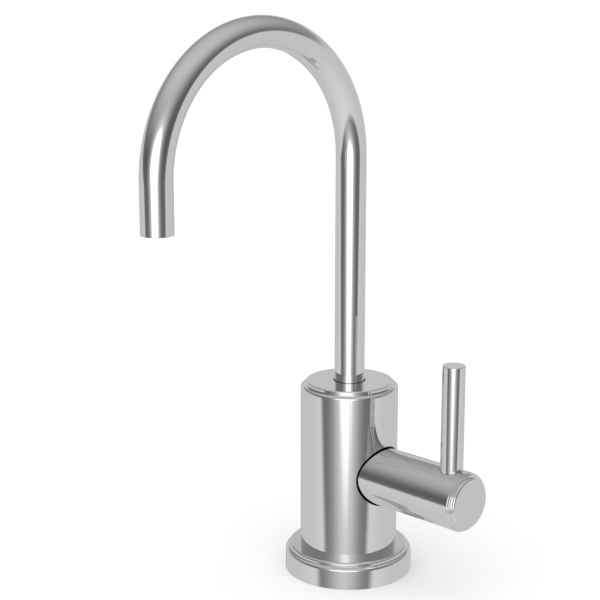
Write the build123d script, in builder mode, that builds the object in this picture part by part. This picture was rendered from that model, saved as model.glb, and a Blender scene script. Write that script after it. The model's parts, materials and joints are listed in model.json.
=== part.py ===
import os
from math import sqrt

from build123d import *

# Cold water dispenser faucet: a round body on a deck flange, a swivelling gooseneck
# spout and a side hub that carries an upright lever pin. Sizes in millimetres.
# The origin is on the body's axis at the deck surface. The spout reaches towards -Y,
# the hub towards +X, and +Z is up.

# Deck flange
flange_diameter = 54.2
flange_edge_height = 9.45
flange_step_rise = 1.7
flange_step_inset = 1.5
flange_edge_round = 1.45
flange_step_round = 0.9
flange_lap = 4.65
deck_seal_inset = 3.2
deck_seal_width = 3.3
deck_seal_height = 1.8

# Body
body_diameter = 41.3
body_length = 71.15
body_edge_round = 1.35
spigot_lift = 1.5
side_hole_gap = 0.65

# Cap on top of the body
cap_inset = 2.15
cap_rise = 1.65
cap_edge_round = 0.5
cap_thread_inset = 3.0
cap_thread_root = 2.0
cap_hole_gap = 0.45

# Spout
tube_diameter = 12.7
tube_wall = 0.9
riser_length = 95.75
arch_radius = 51.9
outlet_drop = 19.3
tube_end_round = 0.15
ferrule_diameter = 16.0
collar_diameter = 20.8
collar_length = 3.2
collar_side_gap = 0.5
ferrule_top_gap = 1.5
tube_seat_web = 7.0
ferrule_tail_length = 8.7
ferrule_bore_diameter = 10.4
spout_seal_section = 1.5
spout_seal_spacing = 3.3
thrust_washer_thickness = 0.8
straightener_recess = 7.6
straightener_length = 6.0
straightener_hole_diameter = 1.5
straightener_hole_pitch = 1.85

# Handle hub
hub_axis_height = 45.8
hub_diameter = 24.4
hub_end_reach = 64.0
hub_end_round = 0.2
hub_entry = 0.8
hub_spigot_inset = 0.95
hub_spigot_length = 4.2
hub_spigot_end_gap = 0.4
hub_spigot_wall = 1.15
insert_diameter = 15.0
insert_length = 10.0
insert_clip_gap = 0.5
hub_screw_diameter = 4.0
hub_screw_sink = 1.0

# Stepped end cap of the hub
first_step_inset = 0.35
first_step_length = 0.7
second_step_inset = 0.4
second_step_length = 0.55
end_face_inset = 0.8
end_face_rise = 1.25
end_face_round = 1.0
end_step_round = 0.2
end_plug_inset = 2.7
end_plug_depth = 0.7

# Lever pin
lever_diameter = 9.3
lever_inset = 7.5
lever_height = 55.6
lever_top_round = 0.3
lever_socket_gap = 0.15
lever_seat_height = 7.5
lever_stud_diameter = 5.0
lever_stud_length = 10.0
lever_stud_end_gap = 0.5
lever_screw_diameter = 4.0

# Quarter-turn ceramic cartridge
cartridge_thread_diameter = 16.66
cartridge_thread_length = 8.0
cartridge_barrel_inset = 0.73
cartridge_barrel_length = 9.2
cartridge_hex_gap = 0.3
cartridge_hex_length = 4.0
cartridge_neck_diameter = 12.0
cartridge_neck_length = 4.3
cartridge_seal_section = 1.4
cartridge_barrel_wall = 1.2
disc_thickness = 2.6
port_inner_radius = 1.6
port_outer_radius = 5.0
port_span = 70
seat_seal_thickness = 2.0
seat_seal_bore = 8.0
spindle_diameter = 8.0
driver_thickness = 1.5
driver_gap = 1.5
driver_tongue_width = 4.0
driver_tongue_depth = 0.7
driver_ear_span = 50
driver_ear_depth = 1.0
stop_margin = 0.5
stop_rib_root = 0.5
quarter_turn = 90
spline_teeth = 20
spline_depth = 0.4
spline_grip = 7.6
spline_lead = 0.3
spindle_seal_section = 1.1
clip_thickness = 0.8
clip_groove_depth = 0.8
clip_diameter = 11.0
clip_mouth = 5.0

# Water passages in the body
inlet_passage_diameter = 5.5
inlet_passage_wall = 1.3
inlet_passage_rise = 6.0
inlet_passage_inner_bend = 0.5
outlet_passage_diameter = 8.0
socket_floor_gap = 0.5
socket_floor_web = 3.32

# Threaded shank and what clamps it under the deck
shank_diameter = 11.11
shank_bore_diameter = 5.0
shank_socket_depth = 14.5
shank_drop = 62.0
shank_end_chamfer = 0.8
deck_thickness = 20.0
deck_washer_diameter = 30.0
deck_washer_thickness = 3.0
backing_washer_diameter = 27.0
backing_washer_thickness = 1.5
lock_washer_diameter = 19.0
lock_washer_thickness = 0.9
lock_washer_teeth = 12
lock_tooth_depth = 1.35
lock_tooth_gap = 1.45
nut_across = 17.46
nut_height = 7.0
nut_chamfer = 0.6

# Inlet end of the shank
supply_tube_diameter = 6.35
supply_tube_clearance = 0.05
supply_socket_depth = 12.0
inlet_nut_across = 14.3
inlet_nut_length = 11.0
inlet_nut_grip = 6.5
inlet_ferrule_diameter = 8.6
inlet_ferrule_length = 4.0
inlet_ferrule_lip = 0.4

# Clearances
thread_clearance = 0.05
running_clearance = 0.05
axial_clearance = 0.1
slip_clearance = 0.1
key_clearance = 0.05
seal_clearance = 0.03

# How far a cut or a joined root runs past the face it has to cross
cut_overrun = 1.0

# Directions in a plane square to the hub's axis, in degrees
back, up, front, down = 0, 90, 180, 270

# Radii and heights that follow from the driving sizes
flange_radius = flange_diameter / 2
flange_top = flange_edge_height + flange_step_rise
body_radius = body_diameter / 2
body_top = flange_top + body_length
cap_top = body_top + cap_rise
cap_radius = body_radius - cap_inset
cap_thread_radius = cap_radius - cap_thread_inset
tube_radius = tube_diameter / 2
tube_bore_radius = tube_radius - tube_wall
arch_height = cap_top + riser_length
outlet_height = arch_height - outlet_drop
hub_radius = hub_diameter / 2
side_hole_radius = hub_radius + side_hole_gap
hub_spigot_radius = hub_radius - hub_spigot_inset
hub_bore_radius = hub_spigot_radius - hub_spigot_wall
first_step_radius = hub_radius - first_step_inset
second_step_radius = first_step_radius - second_step_inset
end_face_radius = second_step_radius - end_face_inset
end_plug_radius = hub_radius - end_plug_inset
shank_radius = shank_diameter / 2
flange_bore_radius = body_radius - flange_lap
spigot_radius = flange_bore_radius - slip_clearance
deck_seal_radius = flange_radius - deck_seal_inset

# The spout's seat in the body, from the valve chamber upwards
thread_radius = cartridge_thread_diameter / 2
chamber_radius = thread_radius + thread_clearance
socket_floor = hub_axis_height + chamber_radius + socket_floor_web
ferrule_bottom = socket_floor + socket_floor_gap
tube_seat = ferrule_bottom + tube_seat_web
collar_bottom = ferrule_bottom + ferrule_tail_length
collar_top = collar_bottom + collar_length
washer_top = collar_bottom - axial_clearance
washer_bottom = washer_top - thrust_washer_thickness
bushing_bottom = collar_top + axial_clearance
shoulder_height = bushing_bottom + cap_thread_root
ferrule_top = body_top - ferrule_top_gap
collar_radius = collar_diameter / 2
ferrule_radius = ferrule_diameter / 2
socket_radius = ferrule_radius + running_clearance
bushing_outer_radius = collar_radius + collar_side_gap

# Places along the hub's axis, measured from the body's axis
side_rim = sqrt(body_radius**2 - side_hole_radius**2)
hub_start = side_rim - hub_entry
hub_spigot_start = hub_start - hub_spigot_length
side_hole_floor = hub_spigot_start - hub_spigot_end_gap
barrel_radius = thread_radius - cartridge_barrel_inset
barrel_start = side_hole_floor - cartridge_thread_length - cartridge_barrel_length
chamber_floor = barrel_start - seat_seal_thickness
barrel_bore_radius = barrel_radius - cartridge_barrel_wall + running_clearance
disc_radius = barrel_bore_radius - running_clearance
moving_disc_start = barrel_start + disc_thickness
driver_start = moving_disc_start + disc_thickness
driver_plate_start = driver_start + driver_gap
driver_end = driver_plate_start + driver_thickness
hex_end = side_hole_floor + cartridge_hex_length
neck_end = hex_end + cartridge_neck_length
spindle_radius = spindle_diameter / 2
clip_start = neck_end + axial_clearance
clip_end = clip_start + clip_thickness
insert_start = clip_end + insert_clip_gap
insert_end = insert_start + insert_length
spline_start = insert_start - spline_lead
spindle_end = insert_start + spline_grip
insert_radius = insert_diameter / 2
lever_offset = hub_end_reach - lever_inset
lever_radius = lever_diameter / 2
lever_stud_radius = lever_stud_diameter / 2
lever_socket_radius = lever_radius + lever_socket_gap

# Heights under the deck, all below zero
deck_underside = -deck_thickness
washer_underside = deck_underside - deck_washer_thickness
backing_underside = washer_underside - backing_washer_thickness
lock_underside = backing_underside - lock_washer_thickness
nut_underside = lock_underside - nut_height
shank_bottom = -shank_drop
shank_top = spigot_lift + shank_socket_depth
inlet_passage_radius = inlet_passage_diameter / 2
inlet_passage_height = shank_top + inlet_passage_rise
inlet_passage_x = chamber_floor - inlet_passage_wall - inlet_passage_radius
shank_bore_radius = shank_bore_diameter / 2
supply_radius = supply_tube_diameter / 2 + supply_tube_clearance

# The hub's axis, and a plane that holds it with X to the right and Z up
hub_axis = Axis((0, 0, hub_axis_height), (1, 0, 0))
hub_side_plane = Plane(origin=(0, 0, hub_axis_height), x_dir=(1, 0, 0), z_dir=(0, -1, 0))


def across_hub(x):
    """The plane square to the hub's axis at x, with Y to the right and Z up."""
    return Plane(origin=(x, 0, hub_axis_height), x_dir=(0, 1, 0), z_dir=(1, 0, 0))


def rims(piece, radius, x=None, z=None):
    """The round edges of a piece that have this radius and lie at this x or this z."""
    found = piece.edges().filter_by(GeomType.CIRCLE)
    found = found.filter_by(lambda edge: abs(edge.radius - radius) < 0.001)
    if x is not None:
        found = found.filter_by(lambda edge: abs(edge.arc_center.X - x) < 0.001)
    if z is not None:
        found = found.filter_by(lambda edge: abs(edge.arc_center.Z - z) < 0.001)
    return found


def ring_sector(inner, outer, middle, span):
    """A flat piece of a ring, span degrees wide about the angle middle."""
    with BuildSketch() as sector:
        with BuildLine():
            outer_arc = CenterArc((0, 0), outer, middle - span / 2, span)
            inner_arc = CenterArc((0, 0), inner, middle - span / 2, span)
            Line(outer_arc @ 0, inner_arc @ 0)
            Line(outer_arc @ 1, inner_arc @ 1)
        make_face()
    return sector.sketch


def spline_outline(clearance):
    """The toothed outline of the spindle's end, grown by a clearance."""
    tip = spindle_radius + clearance
    root = tip - spline_depth
    tooth = 360 / spline_teeth
    corners = []
    for index in range(spline_teeth):
        corners.append(Vector(tip, 0).rotate(Axis.Z, index * tooth))
        corners.append(Vector(root, 0).rotate(Axis.Z, (index + 0.5) * tooth))
    with BuildSketch() as outline:
        with BuildLine():
            Polyline(*corners, close=True)
        make_face()
    return outline.sketch


# Trim flange that covers the deck hole: a flat step stands inside a rounded edge
with BuildPart() as base_flange:
    with BuildSketch(Plane.XZ):
        with BuildLine():
            Polyline(
                (flange_bore_radius, 0),
                (flange_radius, 0),
                (flange_radius, flange_edge_height),
                (flange_radius - flange_step_inset, flange_edge_height),
                (flange_radius - flange_step_inset, flange_top),
                (flange_bore_radius, flange_top),
                close=True,
            )
        make_face()
    revolve(axis=Axis.Z)
    fillet(rims(base_flange, flange_radius, z=flange_edge_height), flange_edge_round)
    fillet(
        rims(base_flange, flange_radius - flange_step_inset, z=flange_top),
        flange_step_round,
    )
    with BuildSketch():
        Circle(deck_seal_radius + slip_clearance)
        Circle(deck_seal_radius - deck_seal_width - slip_clearance, mode=Mode.SUBTRACT)
    extrude(amount=deck_seal_height, mode=Mode.SUBTRACT)

# Flat rubber ring in the flange's underside, flush with the deck
with BuildPart() as deck_seal:
    with BuildSketch():
        Circle(deck_seal_radius)
        Circle(deck_seal_radius - deck_seal_width, mode=Mode.SUBTRACT)
    extrude(amount=deck_seal_height)

# Brass body: a turned cylinder on a spigot, bored for the spout, valve and shank
with BuildPart() as body_shell:
    with BuildSketch(Plane.XZ):
        with BuildLine():
            Polyline(
                (0, spigot_lift),
                (spigot_radius, spigot_lift),
                (spigot_radius, flange_top),
                (body_radius, flange_top),
                (body_radius, body_top),
                (cap_thread_radius, body_top),
                (cap_thread_radius, shoulder_height),
                (bushing_outer_radius, shoulder_height),
                (bushing_outer_radius, washer_bottom),
                (socket_radius, washer_bottom),
                (socket_radius, socket_floor),
                (0, socket_floor),
                close=True,
            )
        make_face()
    revolve(axis=Axis.Z)
    fillet(rims(body_shell, body_radius, z=body_top), body_edge_round)
    # side hole for the hub, then the threaded chamber for the cartridge
    with BuildSketch(across_hub(side_hole_floor)):
        Circle(side_hole_radius)
    extrude(amount=body_radius, mode=Mode.SUBTRACT)
    with BuildSketch(across_hub(chamber_floor)):
        Circle(chamber_radius)
    extrude(amount=side_hole_floor - chamber_floor, mode=Mode.SUBTRACT)
    # water leaves the chamber upwards into the spout's socket
    with BuildSketch(Plane.XY.offset(hub_axis_height)):
        Circle(outlet_passage_diameter / 2)
    extrude(amount=socket_floor - hub_axis_height, mode=Mode.SUBTRACT)
    # threaded socket for the shank, and the passage from it round to the valve seat
    with BuildSketch(Plane.XY.offset(spigot_lift)):
        Circle(shank_radius + thread_clearance)
    extrude(amount=shank_socket_depth, mode=Mode.SUBTRACT)
    with BuildLine(Plane.XZ) as inlet_path:
        FilletPolyline(
            (0, shank_top),
            (0, inlet_passage_height),
            (inlet_passage_x, inlet_passage_height),
            (inlet_passage_x, hub_axis_height),
            (chamber_floor, hub_axis_height),
            radius=inlet_passage_radius + inlet_passage_inner_bend,
        )
    with BuildSketch(Plane.XY.offset(shank_top)):
        Circle(inlet_passage_radius)
    sweep(path=inlet_path.line, mode=Mode.SUBTRACT)

# Cap screwed into the body's top: it shows as a raised disc and holds the spout down
with BuildPart() as top_cap:
    with BuildSketch(Plane.XZ):
        with BuildLine():
            Polyline(
                (tube_radius + cap_hole_gap, body_top),
                (bushing_outer_radius, body_top),
                (bushing_outer_radius, shoulder_height),
                (cap_thread_radius - thread_clearance, shoulder_height),
                (cap_thread_radius - thread_clearance, body_top),
                (cap_radius, body_top),
                (cap_radius, cap_top),
                (tube_radius + cap_hole_gap, cap_top),
                close=True,
            )
        make_face()
    revolve(axis=Axis.Z)
    fillet(rims(top_cap, cap_radius, z=cap_top), cap_edge_round)

# Low-friction bush that the spout's ferrule turns in
with BuildPart() as spout_bushing:
    with BuildSketch(Plane.XY.offset(bushing_bottom)):
        Circle(bushing_outer_radius - seal_clearance)
        Circle(ferrule_radius + running_clearance, mode=Mode.SUBTRACT)
    extrude(amount=body_top - bushing_bottom)

# Low-friction washer under the ferrule's collar
with BuildPart() as thrust_washer:
    with BuildSketch(Plane.XY.offset(washer_bottom)):
        Circle(collar_radius)
        Circle(ferrule_radius + slip_clearance, mode=Mode.SUBTRACT)
    extrude(amount=thrust_washer_thickness)

# Gooseneck tube: a straight riser, a half circle and a short drop to the outlet
with BuildPart() as spout_tube:
    with BuildLine(Plane.YZ) as spout_path:
        riser = Line((0, tube_seat), (0, arch_height))
        arch = CenterArc((-arch_radius, arch_height), arch_radius, 0, 180)
        drop = Line(arch @ 1, (-2 * arch_radius, outlet_height))
    with BuildSketch(Plane.XY.offset(tube_seat)):
        Circle(tube_radius)
        Circle(tube_bore_radius, mode=Mode.SUBTRACT)
    sweep(path=spout_path.line)
    fillet(rims(spout_tube, tube_radius, z=outlet_height), tube_end_round)

# Brass ferrule brazed to the foot of the tube: collar, seal grooves and water bore
seal_minor = spout_seal_section / 2
seal_major = ferrule_radius - seal_minor
groove_floor = seal_major - seal_minor - seal_clearance
lower_seal_height = ferrule_bottom + spout_seal_section
upper_seal_height = lower_seal_height + spout_seal_spacing
with BuildPart() as spout_ferrule:
    with BuildSketch(Plane.XZ):
        with BuildLine():
            Polyline(
                (ferrule_bore_diameter / 2, ferrule_bottom),
                (ferrule_radius, ferrule_bottom),
                (ferrule_radius, collar_bottom),
                (collar_radius, collar_bottom),
                (collar_radius, collar_top),
                (ferrule_radius, collar_top),
                (ferrule_radius, ferrule_top),
                (tube_radius, ferrule_top),
                (tube_radius, tube_seat),
                (ferrule_bore_diameter / 2, tube_seat),
                close=True,
            )
        make_face()
    revolve(axis=Axis.Z)
    for height in (lower_seal_height, upper_seal_height):
        with BuildSketch(Plane.XY.offset(height - seal_minor - slip_clearance)):
            Circle(ferrule_radius)
            Circle(groove_floor, mode=Mode.SUBTRACT)
        extrude(amount=spout_seal_section + 2 * slip_clearance, mode=Mode.SUBTRACT)

# Two rubber rings in the ferrule's grooves
with BuildPart() as spout_seal_lower:
    with BuildSketch(Plane.XZ):
        with Locations((seal_major, lower_seal_height)):
            Circle(seal_minor)
    revolve(axis=Axis.Z)

with BuildPart() as spout_seal_upper:
    with BuildSketch(Plane.XZ):
        with Locations((seal_major, upper_seal_height)):
            Circle(seal_minor)
    revolve(axis=Axis.Z)

# Flow straightener pushed up inside the outlet: three rings of straight holes
straightener_radius = tube_bore_radius - seal_clearance
outlet_plane = Plane.XY.offset(outlet_height + straightener_recess)
with BuildPart() as outlet_straightener:
    with BuildSketch(outlet_plane):
        with Locations((0, -2 * arch_radius)):
            Circle(straightener_radius)
            Circle(straightener_hole_diameter / 2, mode=Mode.SUBTRACT)
            with PolarLocations(straightener_hole_pitch, 6):
                Circle(straightener_hole_diameter / 2, mode=Mode.SUBTRACT)
            with PolarLocations(2 * straightener_hole_pitch, 12):
                Circle(straightener_hole_diameter / 2, mode=Mode.SUBTRACT)
    extrude(amount=straightener_length)

# Low-friction ring pressed into the side hole, where the hub's inner end turns
with BuildPart() as hub_bushing:
    with BuildSketch(across_hub(side_hole_floor)):
        Circle(side_hole_radius)
        Circle(hub_spigot_radius + running_clearance, mode=Mode.SUBTRACT)
    extrude(amount=hub_start - axial_clearance - side_hole_floor)

# Cartridge housing: barrel round the discs, thread, hexagon and neck
cartridge_seal_minor = cartridge_seal_section / 2
cartridge_seal_major = chamber_radius - cartridge_seal_minor - seal_clearance
cartridge_seal_x = side_hole_floor - cartridge_seal_section
stop_span = 180 - quarter_turn - driver_ear_span - 2 * stop_margin
stop_middle = up - driver_ear_span / 2 - stop_margin - stop_span / 2
stop_rib_radius = barrel_radius - stop_rib_root
ear_inner_radius = barrel_bore_radius - driver_ear_depth - slip_clearance
with BuildPart() as cartridge_housing:
    with BuildSketch(hub_side_plane):
        with BuildLine():
            Polyline(
                (barrel_start, barrel_bore_radius),
                (barrel_start, barrel_radius),
                (side_hole_floor - cartridge_thread_length, barrel_radius),
                (side_hole_floor - cartridge_thread_length, thread_radius),
                (side_hole_floor, thread_radius),
                (side_hole_floor, cartridge_neck_diameter / 2),
                (neck_end, cartridge_neck_diameter / 2),
                (neck_end, spindle_radius + running_clearance),
                (driver_end + axial_clearance, spindle_radius + running_clearance),
                (driver_end + axial_clearance, barrel_bore_radius),
                close=True,
            )
        make_face()
    revolve(axis=hub_axis)
    with BuildSketch(across_hub(side_hole_floor)):
        RegularPolygon(hub_bore_radius - cartridge_hex_gap, 6)
        Circle(spindle_radius + running_clearance, mode=Mode.SUBTRACT)
    extrude(amount=cartridge_hex_length)
    # groove for the ring that seals the housing in the body
    with BuildSketch(across_hub(cartridge_seal_x - cartridge_seal_minor - slip_clearance)):
        Circle(thread_radius)
        Circle(cartridge_seal_major - cartridge_seal_minor - seal_clearance, mode=Mode.SUBTRACT)
    extrude(amount=cartridge_seal_section + 2 * slip_clearance, mode=Mode.SUBTRACT)
    # two windows let the water out between the moving disc and the driver
    with BuildSketch(across_hub(driver_start)):
        add(ring_sector(barrel_bore_radius - cut_overrun, barrel_radius + cut_overrun, up, port_span))
        add(ring_sector(barrel_bore_radius - cut_overrun, barrel_radius + cut_overrun, down, port_span))
    extrude(amount=driver_gap, mode=Mode.SUBTRACT)
    # two ribs stop the driver's ears at the ends of the quarter turn
    with BuildSketch(across_hub(driver_plate_start)):
        add(ring_sector(ear_inner_radius + slip_clearance, stop_rib_radius, stop_middle, stop_span))
        add(ring_sector(ear_inner_radius + slip_clearance, stop_rib_radius, stop_middle + 180, stop_span))
    extrude(amount=driver_thickness)

# Rubber ring between the housing and the body
with BuildPart() as cartridge_seal:
    with BuildSketch(hub_side_plane):
        with Locations((cartridge_seal_x, cartridge_seal_major)):
            Circle(cartridge_seal_minor)
    revolve(axis=hub_axis)

# Rubber seat between the body and the fixed disc
with BuildPart() as seat_seal:
    with BuildSketch(across_hub(chamber_floor)):
        Circle(barrel_radius)
        Circle(seat_seal_bore / 2, mode=Mode.SUBTRACT)
    extrude(amount=seat_seal_thickness)

# Fixed ceramic disc, with its two ports towards the front and the back
with BuildPart() as fixed_disc:
    with BuildSketch(across_hub(barrel_start)):
        Circle(disc_radius)
        add(ring_sector(port_inner_radius, port_outer_radius, back, port_span), mode=Mode.SUBTRACT)
        add(ring_sector(port_inner_radius, port_outer_radius, front, port_span), mode=Mode.SUBTRACT)
    extrude(amount=disc_thickness)

# Moving ceramic disc: closed at rest, its ports stand a quarter turn from the fixed ones
with BuildPart() as moving_disc:
    with BuildSketch(across_hub(moving_disc_start)):
        Circle(disc_radius)
        add(ring_sector(port_inner_radius, port_outer_radius, up, port_span), mode=Mode.SUBTRACT)
        add(ring_sector(port_inner_radius, port_outer_radius, down, port_span), mode=Mode.SUBTRACT)
    extrude(amount=disc_thickness)
    with BuildSketch(across_hub(driver_start - driver_tongue_depth)):
        Rectangle(2 * disc_radius, driver_tongue_width + 2 * key_clearance)
    extrude(amount=driver_tongue_depth, mode=Mode.SUBTRACT)

# Spindle: driver plate with a tongue and two ears, shaft, seal groove and spline
spindle_seal_minor = spindle_seal_section / 2
spindle_seal_major = spindle_radius - spindle_seal_minor
spindle_seal_x = (driver_end + side_hole_floor) / 2
tongue_length = 2 * (disc_radius - 2 * running_clearance)
with BuildPart() as valve_spindle:
    with BuildSketch(across_hub(driver_start - driver_tongue_depth)):
        with BuildLine():
            half_width = driver_tongue_width / 2
            tongue_end = sqrt((tongue_length / 2) ** 2 - half_width**2)
            Line((-tongue_end, half_width), (tongue_end, half_width))
            ThreePointArc((tongue_end, half_width), (tongue_length / 2, 0), (tongue_end, -half_width))
            Line((tongue_end, -half_width), (-tongue_end, -half_width))
            ThreePointArc((-tongue_end, -half_width), (-tongue_length / 2, 0), (-tongue_end, half_width))
        make_face()
    extrude(amount=driver_plate_start - driver_start + driver_tongue_depth)
    with BuildSketch(across_hub(driver_plate_start)):
        Circle(ear_inner_radius)
        add(ring_sector(ear_inner_radius - cut_overrun, tongue_length / 2, up, driver_ear_span))
        add(ring_sector(ear_inner_radius - cut_overrun, tongue_length / 2, down, driver_ear_span))
    extrude(amount=driver_thickness)
    with BuildSketch(across_hub(driver_end)):
        Circle(spindle_radius)
    extrude(amount=spline_start - driver_end)
    with BuildSketch(across_hub(spline_start)):
        add(spline_outline(0))
    extrude(amount=spindle_end - spline_start)
    with BuildSketch(across_hub(spindle_seal_x - spindle_seal_minor - slip_clearance)):
        Circle(spindle_radius)
        Circle(spindle_radius - spindle_seal_section - seal_clearance, mode=Mode.SUBTRACT)
    extrude(amount=spindle_seal_section + 2 * slip_clearance, mode=Mode.SUBTRACT)
    with BuildSketch(across_hub(clip_start)):
        Circle(spindle_radius)
        Circle(spindle_radius - clip_groove_depth, mode=Mode.SUBTRACT)
    extrude(amount=clip_thickness, mode=Mode.SUBTRACT)

# Rubber ring on the spindle
with BuildPart() as spindle_seal:
    with BuildSketch(hub_side_plane):
        with Locations((spindle_seal_x, spindle_seal_major)):
            Circle(spindle_seal_minor)
    revolve(axis=hub_axis)

# Open spring clip that keeps the spindle in its housing
with BuildPart() as spindle_clip:
    with BuildSketch(across_hub(clip_start)):
        Circle(clip_diameter / 2)
        Circle(spindle_radius - clip_groove_depth, mode=Mode.SUBTRACT)
        with Locations((0, -clip_diameter / 2)):
            Rectangle(clip_mouth, clip_diameter, mode=Mode.SUBTRACT)
    extrude(amount=clip_thickness)

# Hub: a turned sleeve, its inner spigot in the bush and its lever socket on top
lever_socket_plane = Plane(origin=(lever_offset, 0, hub_axis_height))
hub_end_plane = across_hub(hub_end_reach)
lever_screw_radius = lever_screw_diameter / 2
hub_screw_radius = hub_screw_diameter / 2
hub_screw_x = insert_start + spline_grip / 2
hub_screw_plane = Plane(
    origin=(hub_screw_x, 0, hub_axis_height), x_dir=(1, 0, 0), z_dir=(0, 0, -1)
)
with BuildPart() as handle_hub:
    with BuildSketch(hub_side_plane):
        with BuildLine():
            Polyline(
                (hub_spigot_start, hub_bore_radius),
                (hub_spigot_start, hub_spigot_radius),
                (hub_start, hub_spigot_radius),
                (hub_start, hub_radius),
                (hub_end_reach, hub_radius),
                (hub_end_reach, end_plug_radius + slip_clearance),
                (hub_end_reach - end_plug_depth, end_plug_radius + slip_clearance),
                (hub_end_reach - end_plug_depth, 0),
                (insert_end, 0),
                (insert_end, insert_radius),
                (insert_start, insert_radius),
                (insert_start, hub_bore_radius),
                close=True,
            )
        make_face()
    revolve(axis=hub_axis)
    fillet(rims(handle_hub, hub_radius, x=hub_end_reach), hub_end_round)
    # socket and thread for the lever pin
    with BuildSketch(lever_socket_plane.offset(lever_seat_height)):
        Circle(lever_socket_radius)
    extrude(amount=hub_radius, mode=Mode.SUBTRACT)
    with BuildSketch(lever_socket_plane.offset(lever_seat_height)):
        Circle(lever_stud_radius + thread_clearance)
    extrude(amount=-lever_stud_length - lever_stud_end_gap, mode=Mode.SUBTRACT)
    # tapped holes for the two grub screws
    with BuildSketch(hub_end_plane.offset(-end_plug_depth)):
        Circle(lever_screw_radius + thread_clearance)
    extrude(amount=lever_offset - hub_end_reach + end_plug_depth, mode=Mode.SUBTRACT)
    with BuildSketch(hub_screw_plane.offset(insert_radius - cut_overrun)):
        Circle(hub_screw_radius + thread_clearance)
    extrude(amount=hub_radius, mode=Mode.SUBTRACT)

# Stepped cap that closes the hub's outer end
first_step_end = hub_end_reach + first_step_length
second_step_end = first_step_end + second_step_length
end_face_x = second_step_end + end_face_rise
with BuildPart() as hub_end_cap:
    with BuildSketch(hub_side_plane):
        with BuildLine():
            Polyline(
                (hub_end_reach - end_plug_depth, 0),
                (hub_end_reach - end_plug_depth, end_plug_radius),
                (hub_end_reach, end_plug_radius),
                (hub_end_reach, first_step_radius),
                (first_step_end, first_step_radius),
                (first_step_end, second_step_radius),
                (second_step_end, second_step_radius),
                (second_step_end, end_face_radius),
                (end_face_x, end_face_radius),
                (end_face_x, 0),
                close=True,
            )
        make_face()
    revolve(axis=hub_axis)
    fillet(rims(hub_end_cap, first_step_radius, x=first_step_end), end_step_round)
    fillet(rims(hub_end_cap, second_step_radius, x=second_step_end), end_step_round)
    fillet(rims(hub_end_cap, end_face_radius, x=end_face_x), end_face_round)

# Lever: a plain round pin with a threaded stud
with BuildPart() as lever_pin:
    with BuildSketch(lever_socket_plane.offset(lever_seat_height)):
        Circle(lever_radius)
    extrude(amount=lever_height - lever_seat_height)
    fillet(
        rims(lever_pin, lever_radius, z=hub_axis_height + lever_height), lever_top_round
    )
    with BuildSketch(lever_socket_plane.offset(lever_seat_height)):
        Circle(lever_stud_radius)
    extrude(amount=-lever_stud_length)

# Grub screw behind the end cap that locks the lever's stud
lever_screw_start = lever_offset + lever_stud_radius
lever_screw_end = hub_end_reach - end_plug_depth - axial_clearance
with BuildPart() as lever_set_screw:
    with BuildSketch(across_hub(lever_screw_start)):
        Circle(lever_screw_radius)
    extrude(amount=lever_screw_end - lever_screw_start)
    with BuildSketch(across_hub(lever_screw_end)):
        RegularPolygon(lever_screw_radius / 2, 6, major_radius=False)
    extrude(amount=-lever_screw_radius / 2, mode=Mode.SUBTRACT)

# Moulded insert between the spindle's spline and the hub
with BuildPart() as handle_insert:
    with BuildSketch(across_hub(insert_start)):
        Circle(insert_radius)
    extrude(amount=insert_length)
    with BuildSketch(across_hub(insert_start)):
        add(spline_outline(key_clearance))
    extrude(amount=spline_grip + slip_clearance, mode=Mode.SUBTRACT)
    with BuildSketch(hub_screw_plane):
        Circle(hub_screw_radius + slip_clearance)
    extrude(amount=insert_radius + cut_overrun, mode=Mode.SUBTRACT)

# Grub screw under the hub that clamps the spindle
hub_screw_tip = spindle_radius + key_clearance
hub_screw_length = hub_radius - hub_screw_sink - hub_screw_tip
with BuildPart() as hub_set_screw:
    with BuildSketch(hub_screw_plane.offset(hub_screw_tip)):
        Circle(hub_screw_radius)
    extrude(amount=hub_screw_length)
    with BuildSketch(hub_screw_plane.offset(hub_screw_tip + hub_screw_length)):
        RegularPolygon(hub_screw_radius / 2, 6, major_radius=False)
    extrude(amount=-hub_screw_radius, mode=Mode.SUBTRACT)

# Threaded shank: screwed into the body, bored through, with a socket for the supply tube
with BuildPart() as mounting_shank:
    with BuildSketch(Plane.XY.offset(shank_bottom)):
        Circle(shank_radius)
    extrude(amount=shank_top - shank_bottom)
    chamfer(rims(mounting_shank, shank_radius, z=shank_bottom), shank_end_chamfer)
    with BuildSketch(Plane.XY.offset(shank_bottom)):
        Circle(shank_bore_radius)
    extrude(amount=shank_top - shank_bottom, mode=Mode.SUBTRACT)
    with BuildSketch(Plane.XY.offset(shank_bottom)):
        Circle(supply_radius)
    extrude(amount=supply_socket_depth, mode=Mode.SUBTRACT)

# Rubber washer against the underside of the deck
with BuildPart() as deck_washer:
    with BuildSketch(Plane.XY.offset(washer_underside)):
        Circle(deck_washer_diameter / 2)
        Circle(shank_radius + slip_clearance, mode=Mode.SUBTRACT)
    extrude(amount=deck_washer_thickness)

# Steel washer that backs it
with BuildPart() as backing_washer:
    with BuildSketch(Plane.XY.offset(backing_underside)):
        Circle(backing_washer_diameter / 2)
        Circle(shank_radius + slip_clearance, mode=Mode.SUBTRACT)
    extrude(amount=backing_washer_thickness)

# Toothed lock washer
with BuildPart() as lock_washer:
    with BuildSketch(Plane.XY.offset(lock_underside)):
        Circle(lock_washer_diameter / 2)
        Circle(shank_radius + slip_clearance, mode=Mode.SUBTRACT)
        with PolarLocations(lock_washer_diameter / 2, lock_washer_teeth):
            Rectangle(2 * lock_tooth_depth, lock_tooth_gap, mode=Mode.SUBTRACT)
    extrude(amount=lock_washer_thickness)

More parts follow.
